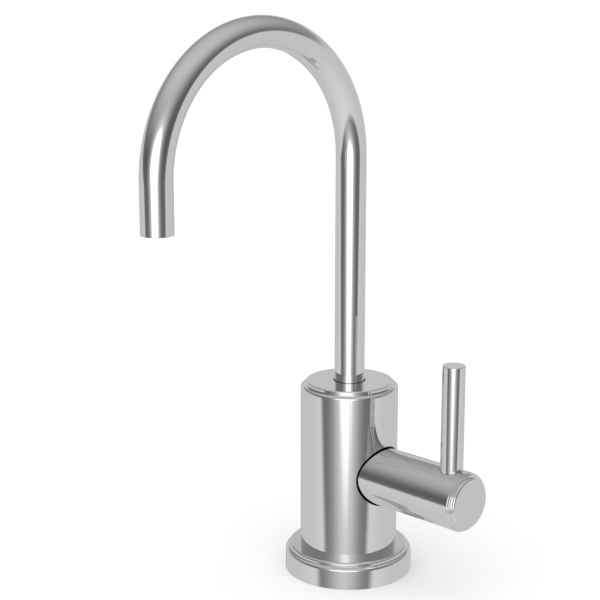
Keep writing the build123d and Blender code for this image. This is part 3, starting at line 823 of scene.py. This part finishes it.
def makeCap(values):
    piece = makeTurned("bodyCap", values, [
        ("hole", "seat"),
        ("bushingBore", "seat"),
        ("bushingBore", "skirtFoot"),
        ("threadRadius", "skirtFoot"),
        ("threadRadius", "seat"),
        ("radius", "seat"),
        ("radius", "top", "edgeRound"),
        ("hole", "top"),
    ], upright)
    settle(piece, "polished_chrome", "body", "top_cap")


makeCap(cap)
print("cap made")

# Hub: a turned sleeve with the lever's socket on top and a screw hole underneath
hub = {
    "radius": 12.2,
    "start": 15.3648,
    "end": 64.0,
    "endRound": 0.2,
    "spigotRadius": 11.25,
    "spigotStart": 11.1648,
    "bore": 10.1,
    "insertRadius": 7.5,
    "insertStart": 20.4648,
    "insertEnd": 30.4648,
    "plugRadius": 9.6,
    "plugFloor": 63.3,
    "socketRadius": 4.8,
    "socketFloor": 53.3,
    "studRadius": 2.55,
    "studFloor": 42.8,
    "screwRadius": 2.05,
    "screwFloor": 6.5,
}


def makeHub(values):
    socketTop = hubHeight + values["radius"] + overrun
    piece = makeTurned("handleHub", values, [
        ("spigotRadius", "spigotStart"),
        ("spigotRadius", "start"),
        ("radius", "start"),
        ("radius", "end", "endRound"),
        ("plugRadius", "end"),
        ("plugRadius", "plugFloor"),
        (0, "plugFloor"),
        (0, "insertEnd"),
        ("insertRadius", "insertEnd"),
        ("insertRadius", "insertStart"),
        ("bore", "insertStart"),
        ("bore", "spigotStart"),
    ], alongHub, [
        (values["socketRadius"], values["socketFloor"], socketTop, alongLever),
        (values["studRadius"], values["studFloor"], values["socketFloor"] + overrun, alongLever),
        (values["screwRadius"], leverX, values["plugFloor"] + overrun, alongHub),
        (values["screwRadius"], values["screwFloor"], values["radius"] + overrun, downHubScrew),
    ])
    settle(piece, "polished_chrome", "handle", "handle_hub")


makeHub(hub)
print("hub made")

# Stepped cap that closes the hub's outer end
endCap = {
    "plugRadius": 9.5,
    "plugStart": 63.3,
    "start": 64.0,
    "firstRadius": 11.85,
    "firstEnd": 64.7,
    "secondRadius": 11.45,
    "secondEnd": 65.25,
    "stepRound": 0.2,
    "faceRadius": 10.65,
    "faceEnd": 66.5,
    "faceRound": 1.0,
}


def makeEndCap(values):
    piece = makeTurned("hubEndCap", values, [
        (0, "plugStart"),
        ("plugRadius", "plugStart"),
        ("plugRadius", "start"),
        ("firstRadius", "start"),
        ("firstRadius", "firstEnd", "stepRound"),
        ("secondRadius", "firstEnd"),
        ("secondRadius", "secondEnd", "stepRound"),
        ("faceRadius", "secondEnd"),
        ("faceRadius", "faceEnd", "faceRound"),
        (0, "faceEnd"),
    ], alongHub)
    settle(piece, "polished_chrome", "handle", "hub_end_cap")


makeEndCap(endCap)

# Lever: a plain round pin on a threaded stud
lever = {
    "radius": 4.65,
    "foot": 53.3,
    "top": 101.4,
    "topRound": 0.3,
    "studRadius": 2.5,
    "studFoot": 43.3,
}


def makeLever(values):
    piece = makeTurned("leverPin", values, [
        (0, "studFoot"),
        ("studRadius", "studFoot"),
        ("studRadius", "foot"),
        ("radius", "foot"),
        ("radius", "top", "topRound"),
        (0, "top"),
    ], alongLever)
    settle(piece, "polished_chrome", "handle", "lever_pin")


makeLever(lever)
print("end cap and lever made")


# Geometry Nodes pieces

# Starts a Geometry Nodes tree whose named inputs hold a piece's sizes
def newPieceTree(name, sizes):
    tree = bpy.data.node_groups.new(name, "GeometryNodeTree")
    tree.interface.new_socket("Geometry", in_out="OUTPUT", socket_type="NodeSocketGeometry")
    for label, value in sizes.items():
        kind = "NodeSocketInt" if isinstance(value, int) else "NodeSocketFloat"
        tree.interface.new_socket(label, in_out="INPUT", socket_type=kind)
    tree.interface.new_socket("material", in_out="INPUT", socket_type="NodeSocketMaterial")
    sources = addNode(tree, "NodeGroupInput").outputs
    return tree, {label: sources[label] for label in sizes}


# Ends a tree, runs it on a new object with its sizes set, and keeps the plain mesh
def runPieceTree(tree, geometry, name, sizes, slotName):
    real = addNode(tree, "GeometryNodeRealizeInstances", {0: geometry})
    material = tree.nodes["Group Input"].outputs["material"]
    painted = addNode(tree, "GeometryNodeSetMaterial", {"Geometry": real, "Material": material})
    addNode(tree, "NodeGroupOutput", {"Geometry": painted})
    piece = bpy.data.objects.new(name, bpy.data.meshes.new(name))
    modifier = piece.modifiers.new(name, "NODES")
    modifier.node_group = tree
    for socket in tree.interface.items_tree:
        if socket.in_out == "INPUT" and socket.name in sizes:
            modifier[socket.identifier] = sizes[socket.name]
        elif socket.in_out == "INPUT":
            modifier[socket.identifier] = materials[slotName]
    scene.collection.objects.link(piece)
    bakeModifiers(piece)
    return piece


# Labels the coordinates of the points that a mesh has so far
def addPlaces(tree, known, *labels):
    position = addNode(tree, "ShaderNodeSeparateXYZ", {0: addNode(tree, "GeometryNodeInputPosition")})
    known.update(zip(labels, position.outputs))


# A flat grid of columns and rows, and each point's share of the width and its row number
def addGrid(tree, known):
    addSums(tree, known, [
        ("columns", "ADD", "ringSteps", 1.0),
        ("rows", "ADD", "lastRow", 1.0),
    ])
    grid = addNode(tree, "GeometryNodeMeshGrid", {
        "Size X": 1.0,
        "Size Y": 1.0,
        "Vertices X": known["columns"],
        "Vertices Y": known["rows"],
    })
    addPlaces(tree, known, "gridX", "gridY")
    addSums(tree, known, [
        ("share", "ADD", "gridX", 0.5),
        ("angle", "MULTIPLY", "share", 2 * math.pi),
        ("rowShare", "ADD", "gridY", 0.5),
        ("rowPlace", "MULTIPLY", "rowShare", "lastRow"),
        ("row", "ROUND", "rowPlace"),
    ])
    return grid


weldGap = 0.002  # points this near to each other are one


# Moves the grid's points to the worked-out x, y and z and welds what meets
def shapeGrid(tree, known, grid):
    spot = addNode(tree, "ShaderNodeCombineXYZ", {0: known["x"], 1: known["y"], 2: known["z"]})
    spot = addNode(tree, "ShaderNodeVectorMath", {0: spot, "Scale": mm}, operation="SCALE")
    shaped = addNode(tree, "GeometryNodeSetPosition", {"Geometry": grid, "Position": spot})
    return addNode(tree, "GeometryNodeMergeByDistance", {"Geometry": shaped, "Distance": weldGap * mm})


# Gooseneck tube: an outline of both walls runs along the riser, the half circle and the drop
gooseneck = {
    "tubeRadius": 6.35,
    "wall": 0.9,
    "endRound": 0.15,
    "foot": 65.0,
    "archHeight": 179.7,
    "archRadius": 51.9,
    "outletHeight": 160.4,
    "pathSteps": 240,
    "roundSteps": 4,
    "ringSteps": 96,
}
onWall = 0.003  # a corner this near to one of the tube's walls is on it


def makeGooseneck(values):
    tree, known = newPieceTree("gooseneckTube", values)
    addSums(tree, known, [
        ("riser", "SUBTRACT", "archHeight", "foot"),
        ("arch", "MULTIPLY", "archRadius", math.pi),
        ("drop", "SUBTRACT", "archHeight", "outletHeight"),
        ("bendEnd", "ADD", "riser", "arch"),
        ("length", "ADD", "bendEnd", "drop"),
        ("outerLength", "SUBTRACT", "length", "endRound"),
        ("lip", "SUBTRACT", "wall", "endRound"),
        # the outline's rows: up the outer wall, round the lip, back along the inner wall, closed
        ("lipEnd", "ADD", "pathSteps", "roundSteps"),
        ("backStart", "ADD", "lipEnd", 1.0),
        ("backEnd", "ADD", "backStart", "pathSteps"),
        ("lastRow", "ADD", "backEnd", 1.0),
    ])
    grid = addGrid(tree, known)
    known["quarter"] = math.pi / 2
    known["none"] = 0.0
    for result, low, high, reach in [
        ("outward", "none", "pathSteps", "outerLength"),
        ("bend", "pathSteps", "lipEnd", "quarter"),
        ("across", "lipEnd", "backStart", "lip"),
        ("back", "backStart", "backEnd", "length"),
        ("closing", "backEnd", "lastRow", "wall"),
    ]:
        known[result] = addNode(tree, "ShaderNodeMapRange", {
            0: known["row"], 1: known[low], 2: known[high], 3: 0.0, 4: known[reach],
        })
    addSums(tree, known, [
        # how far along the path a row is, and its distance from the path
        ("bendSine", "SINE", "bend"),
        ("bendCosine", "COSINE", "bend"),
        ("there", "MULTIPLY_ADD", "bendSine", "endRound", "outward"),
        ("travel", "SUBTRACT", "there", "back"),
        ("fall", "SUBTRACT", 1.0, "bendCosine"),
        ("rounding", "MULTIPLY", "fall", "endRound"),
        ("lipRadius", "SUBTRACT", "tubeRadius", "rounding"),
        ("boreRadius", "SUBTRACT", "lipRadius", "across"),
        ("radius", "ADD", "boreRadius", "closing"),
        # the path's direction there
        ("beyondRiser", "SUBTRACT", "travel", "riser"),
        ("turn", "DIVIDE", "beyondRiser", "archRadius"),
        ("turnFrom", "MAXIMUM", "turn", 0.0),
        ("turned", "MINIMUM", "turnFrom", math.pi),
        ("sine", "SINE", "turned"),
        ("cosine", "COSINE", "turned"),
        ("beyondArch", "SUBTRACT", "beyondRiser", "arch"),
        ("after", "MAXIMUM", "beyondArch", 0.0),
        # the path's point there
        ("toOutlet", "SUBTRACT", "cosine", 1.0),
        ("pathY", "MULTIPLY", "toOutlet", "archRadius"),
        ("climb", "MINIMUM", "travel", "riser"),
        ("riserZ", "ADD", "foot", "climb"),
        ("archZ", "MULTIPLY_ADD", "sine", "archRadius", "riserZ"),
        ("pathZ", "SUBTRACT", "archZ", "after"),
        # the wall's point round the path
        ("sideShare", "SINE", "angle"),
        ("planeShare", "COSINE", "angle"),
        ("x", "MULTIPLY", "sideShare", "radius"),
        ("inPlane", "MULTIPLY", "planeShare", "radius"),
        ("y", "MULTIPLY_ADD", "cosine", "inPlane", "pathY"),
        ("z", "MULTIPLY_ADD", "sine", "inPlane", "pathZ"),
    ])
    closed = shapeGrid(tree, known, grid)
    outwards = addNode(tree, "GeometryNodeFlipFaces", {"Mesh": closed})
    return runPieceTree(tree, outwards, "gooseneck", values, "polished_chrome")


# The nearest point on the tube's path: up the riser, round the arch and down the drop
def pathPoint(point, values):
    middle = Vector((0, -values["archRadius"], values["archHeight"]))
    if point.z < middle.z:
        return Vector((0, 0 if point.y > middle.y else 2 * middle.y, point.z))
    flat = Vector((0, point.y - middle.y, point.z - middle.z)).normalized()
    return middle + flat * values["archRadius"]


# True normals for the tube: straight away from its path, towards it inside
def shadeGooseneck(piece, values):
    mesh = piece.data
    tubeRadius = values["tubeRadius"]
    boreRadius = tubeRadius - values["wall"]
    normals = []
    for polygon in mesh.polygons:
        corners = [mesh.vertices[index].co / mm for index in polygon.vertices]
        away = [corner - pathPoint(corner, values) for corner in corners]
        outside = all(abs(a.length - tubeRadius) < onWall for a in away)
        inside = all(abs(a.length - boreRadius) < onWall for a in away)
        for a in away:
            if outside:
                normals.append(a.normalized())
            elif inside:
                normals.append(-a.normalized())
            else:
                normals.append(polygon.normal.copy())
    mesh.polygons.foreach_set("use_smooth", [True] * len(mesh.polygons))
    mesh.normals_split_custom_set(normals)


tube = makeGooseneck(gooseneck)
shadeGooseneck(tube, gooseneck)
settle(tube, "polished_chrome", "spout", "spout_tube")
print("gooseneck made")


# Under the deck

sharpFrom = 25  # degrees between faces


# Smooths a piece except at its sharp edges
def smoothGently(piece):
    piece.data.shade_smooth()
    piece.data.set_sharp_from_angle(angle=math.radians(sharpFrom))


# The floor is clear to mirrors, so the pieces below it are kept out of the faucet's reflections
def settleUnderDeck(piece, slotName, *replaced):
    settle(piece, slotName, "body", *replaced)
    piece.visible_glossy = False


# Shank threaded 7/16-24, rolled: rows pulled into a helix and cut level at the ends
shankThread = {
    "radius": 5.555,
    "depth": 0.458,  # what 60 degrees between the flanks gives
    "pitch": 25.4 / 24,
    "halfFlat": 0.125,  # half of a crest's or a root's share of the pitch
    "foot": -62.0,
    "top": 16.0,
    "leadIn": 0.8,
    "turnRows": 4,
    "ringSteps": 64,
}
shankBores = {
    "water": 2.5,
    "supply": 3.225,
    "supplyTop": -50.0,
}


def makeShank(values, bores):
    tree, known = newPieceTree("shankThread", values)
    addSums(tree, known, [
        ("span", "SUBTRACT", "top", "foot"),
        ("turns", "DIVIDE", "span", "pitch"),
        ("threadRows", "MULTIPLY", "turns", "turnRows"),
        ("wholeRows", "CEIL", "threadRows"),
        # a turn more for the slant, and a cap at each end
        ("slantRows", "ADD", "wholeRows", "turnRows"),
        ("lastRow", "ADD", "slantRows", 2.0),
        ("footRow", "ADD", "turnRows", 1.0),
    ])
    grid = addGrid(tree, known)
    addSums(tree, known, [
        # a point's height on the helix, kept between the shank's ends
        ("rowsUp", "SUBTRACT", "row", "footRow"),
        ("rowTurns", "DIVIDE", "rowsUp", "turnRows"),
        ("slant", "ADD", "rowTurns", "share"),
        ("lift", "MULTIPLY_ADD", "slant", "pitch", "foot"),
        ("lifted", "MAXIMUM", "lift", "foot"),
        ("z", "MINIMUM", "lifted", "top"),
        # how far it is from the root's middle to the crest's, in turns
        ("aboveFoot", "SUBTRACT", "z", "foot"),
        ("heightTurns", "DIVIDE", "aboveFoot", "pitch"),
        ("unwound", "SUBTRACT", "heightTurns", "share"),
        ("shifted", "ADD", "unwound", "halfFlat"),
        ("phase", "FRACT", "shifted"),
        ("fromRoot", "SUBTRACT", "phase", 0.5),
        ("crestward", "ABSOLUTE", "fromRoot"),
        ("root", "SUBTRACT", "radius", "depth"),
        ("crestFrom", "SUBTRACT", 0.5, "halfFlat"),
    ])
    known["thread"] = addNode(tree, "ShaderNodeMapRange", {
        0: known["crestward"],
        1: known["halfFlat"],
        2: known["crestFrom"],
        3: known["root"],
        4: known["radius"],
    })
    addSums(tree, known, [
        ("leadStart", "SUBTRACT", "radius", "leadIn"),
        ("leadRadius", "ADD", "leadStart", "aboveFoot"),
        ("skin", "MINIMUM", "thread", "leadRadius"),
        ("beforeLast", "SUBTRACT", "lastRow", 0.5),
        ("pastFirst", "GREATER_THAN", "row", 0.5),
        ("notLast", "LESS_THAN", "row", "beforeLast"),
        ("open", "MULTIPLY", "pastFirst", "notLast"),
        ("reach", "MULTIPLY", "skin", "open"),
        ("xShare", "COSINE", "angle"),
        ("yShare", "SINE", "angle"),
        ("x", "MULTIPLY", "xShare", "reach"),
        ("y", "MULTIPLY", "yShare", "reach"),
    ])
    closed = shapeGrid(tree, known, grid)
    piece = runPieceTree(tree, closed, "shank", values, "turned_brass")
    cutWith(piece, [
        makeDrill(bores["water"], values["foot"] - overrun, values["top"] + overrun, upright),
        makeDrill(bores["supply"], values["foot"] - overrun, bores["supplyTop"], upright),
    ])
    smoothGently(piece)
    settleUnderDeck(piece, "turned_brass", "mounting_shank")


makeShank(shankThread, shankBores)

# Soft rubber washer with rounded rims, and the flat steel one that backs it
deckWasher = {"hole": 5.655, "radius": 15.0, "foot": -23.0, "top": -20.0, "rimRound": 0.6}
backingWasher = {"hole": 5.655, "radius": 13.5, "foot": -24.5, "top": -23.0, "rimRound": 0.3}


def makeWasher(name, values, node):
    piece = makeTurned(name, values, [
        ("hole", "foot"),
        ("radius", "foot", "rimRound"),
        ("radius", "top", "rimRound"),
        ("hole", "top"),
    ], upright, rings=smallSteps)
    settleUnderDeck(piece, nodeSlots[node], node)


makeWasher("deckWasher", deckWasher, "deck_washer")
makeWasher("backingWasher", backingWasher, "backing_washer")

# Toothed lock washer: a flat ring, and teeth that twist out of its plane towards the rim
lockRing = {"hole": 5.655, "radius": 8.3, "foot": -25.2, "top": -24.7, "rimRound": 0.05}
lockTeeth = {
    "count": 12,
    "innerRadius": 8.1,
    "outerRadius": 9.5,
    "share": 0.68,  # of the rim that the teeth take up
    "thickness": 0.5,
    "middle": -24.95,
    "twist": 0.11,  # radians at the rim
    "cutsOut": 4,
    "cutsRound": 5,
}


def makeLockTeeth(values):
    tree, known = newPieceTree("lockTeeth", values)
    block = addNode(tree, "GeometryNodeMeshCube", {
        "Size": (1, 1, 1),
        "Vertices X": known["cutsOut"],
        "Vertices Y": known["cutsRound"],
        "Vertices Z": 2,
    })
    addPlaces(tree, known, "blockX", "blockY", "blockZ")
    addSums(tree, known, [
        ("length", "SUBTRACT", "outerRadius", "innerRadius"),
        ("outward", "ADD", "blockX", 0.5),
        ("radius", "MULTIPLY_ADD", "outward", "length", "innerRadius"),
        ("toothAngle", "DIVIDE", 2 * math.pi, "count"),
        ("angleShare", "MULTIPLY", "toothAngle", "share"),
        ("angle", "MULTIPLY", "angleShare", "blockY"),
        ("sine", "SINE", "angle"),
        ("cosine", "COSINE", "angle"),
        ("y", "MULTIPLY", "radius", "sine"),
        ("x", "MULTIPLY", "radius", "cosine"),
        ("tilt", "MULTIPLY", "outward", "twist"),
        ("rise", "MULTIPLY", "tilt", "y"),
        ("thick", "MULTIPLY_ADD", "blockZ", "thickness", "rise"),
        ("z", "ADD", "thick", "middle"),
    ])
    tooth = shapeGrid(tree, known, block)
    known["number"] = addNode(tree, "GeometryNodeInputIndex")
    addSums(tree, known, [("toothTurn", "MULTIPLY", "number", "toothAngle")])
    ring = addNode(tree, "GeometryNodeInstanceOnPoints", {
        "Points": addNode(tree, "GeometryNodePoints", {"Count": known["count"]}),
        "Instance": tooth,
        "Rotation": addNode(tree, "ShaderNodeCombineXYZ", {2: known["toothTurn"]}),
    })
    piece = runPieceTree(tree, ring, "lockTeeth", values, "stainless_steel")
    smoothGently(piece)
    settleUnderDeck(piece, "stainless_steel")


makeWasher("lockRing", lockRing, "lock_washer")
makeLockTeeth(lockTeeth)

# Hexagon nuts: a turned blank with bevelled corners, cut to six flats
mountingNut = {
    "across": 17.46,
    "bore": 5.605,
    "boreBevel": 0.6,
    "foot": -32.4,
    "top": -25.4,
    "cornerBevel": 1.1,
    "bevelAngle": 30,
}
inletNut = {
    "across": 14.3,
    "bore": 5.605,
    "boreBevel": 0.0,
    "foot": -66.5,
    "top": -55.5,
    "cornerBevel": 0.9,
    "bevelAngle": 30,
    "tubeHole": 3.325,
    "floor": -66.1,
}


def makeNut(name, values, node):
    foot = values["foot"]
    top = values["top"]
    bore = values["bore"]
    lead = values["boreBevel"]
    corner = values["across"] / math.sqrt(3)
    shoulder = corner - values["cornerBevel"]
    drop = values["cornerBevel"] * math.tan(math.radians(values["bevelAngle"]))
    outline = [
        (shoulder, foot),
        (corner, foot + drop),
        (corner, top - drop),
        (shoulder, top),
        (bore + lead, top),
    ]
    if lead > 0:
        outline += [(bore, top - lead), (bore, foot + lead)]
    if "tubeHole" in values:
        hole = values["tubeHole"]
        outline += [(bore, values["floor"]), (hole, values["floor"]), (hole, foot)]
    else:
        outline += [(bore + lead, foot)]
    steps = outlineSteps({}, outline)
    piece = turnPiece(name, steps, upright, nutSteps)
    prism = [(0, foot - overrun), (corner, foot - overrun), (corner, top + overrun), (0, top + overrun)]
    cutWith(piece, [turnPiece("sixFlats", outlineSteps({}, prism), upright, 6)], "INTERSECT")
    shadeTurned(piece, steps, upright)
    settleUnderDeck(piece, nodeSlots[node], node)


makeNut("mountingNut", mountingNut, "mounting_nut")
makeNut("inletNut", inletNut, "inlet_nut")
print("under-deck pieces made")


# Floor

# A sheet of matt white paper on the deck plane
floorSheet = {
    "reach": 14.0,  # metres from the middle to an edge
    "height": -0.00002,  # metres, a hair under the flange, so that the two don't fight
    "dark": "#F6F6F5",
    "light": "#FAFAFA",
    "patchWidth": 1.11,  # its fibres
    "patchDetail": 2,
    "topUp": 0.17,  # brings the paper up to white for the camera, and leaves the shadow in it
}


def makeFloor(values):
    material, tree, known = newMaterial("paperMatt", values)
    shader = tree.nodes["Principled BSDF"]
    setInputs(tree, shader, {"Roughness": 0.9, "Specular IOR Level": 0.0})
    known["topUp"] = values["topUp"]
    addRayKinds(tree, known)
    addSums(tree, known, [("seenTopUp", "MULTIPLY", "cameraRay", "topUp")])
    glow = addNode(tree, "ShaderNodeEmission", {"Strength": known["seenTopUp"]})
    lit = addNode(tree, "ShaderNodeAddShader", {0: shader, 1: glow})
    # mirrors look through it to the studio's own paper
    clear = addNode(tree, "ShaderNodeBsdfTransparent")
    seen = addNode(tree, "ShaderNodeMixShader", {0: known["mirrored"], 1: lit, 2: clear})
    setInputs(tree, tree.nodes["Material Output"], {"Surface": seen})
    reach = values["reach"]
    height = values["height"]
    mesh = bpy.data.meshes.new("floorPaper")
    mesh.from_pydata(
        [(x * reach, y * reach, height) for x, y in ((-1, -1), (1, -1), (1, 1), (-1, 1))],
        [],
        [(0, 1, 2, 3)],
    )
    mesh.materials.append(material)
    floor = bpy.data.objects.new("floorPaper", mesh)
    scene.collection.objects.link(floor)


makeFloor(floorSheet)
print("floor laid")
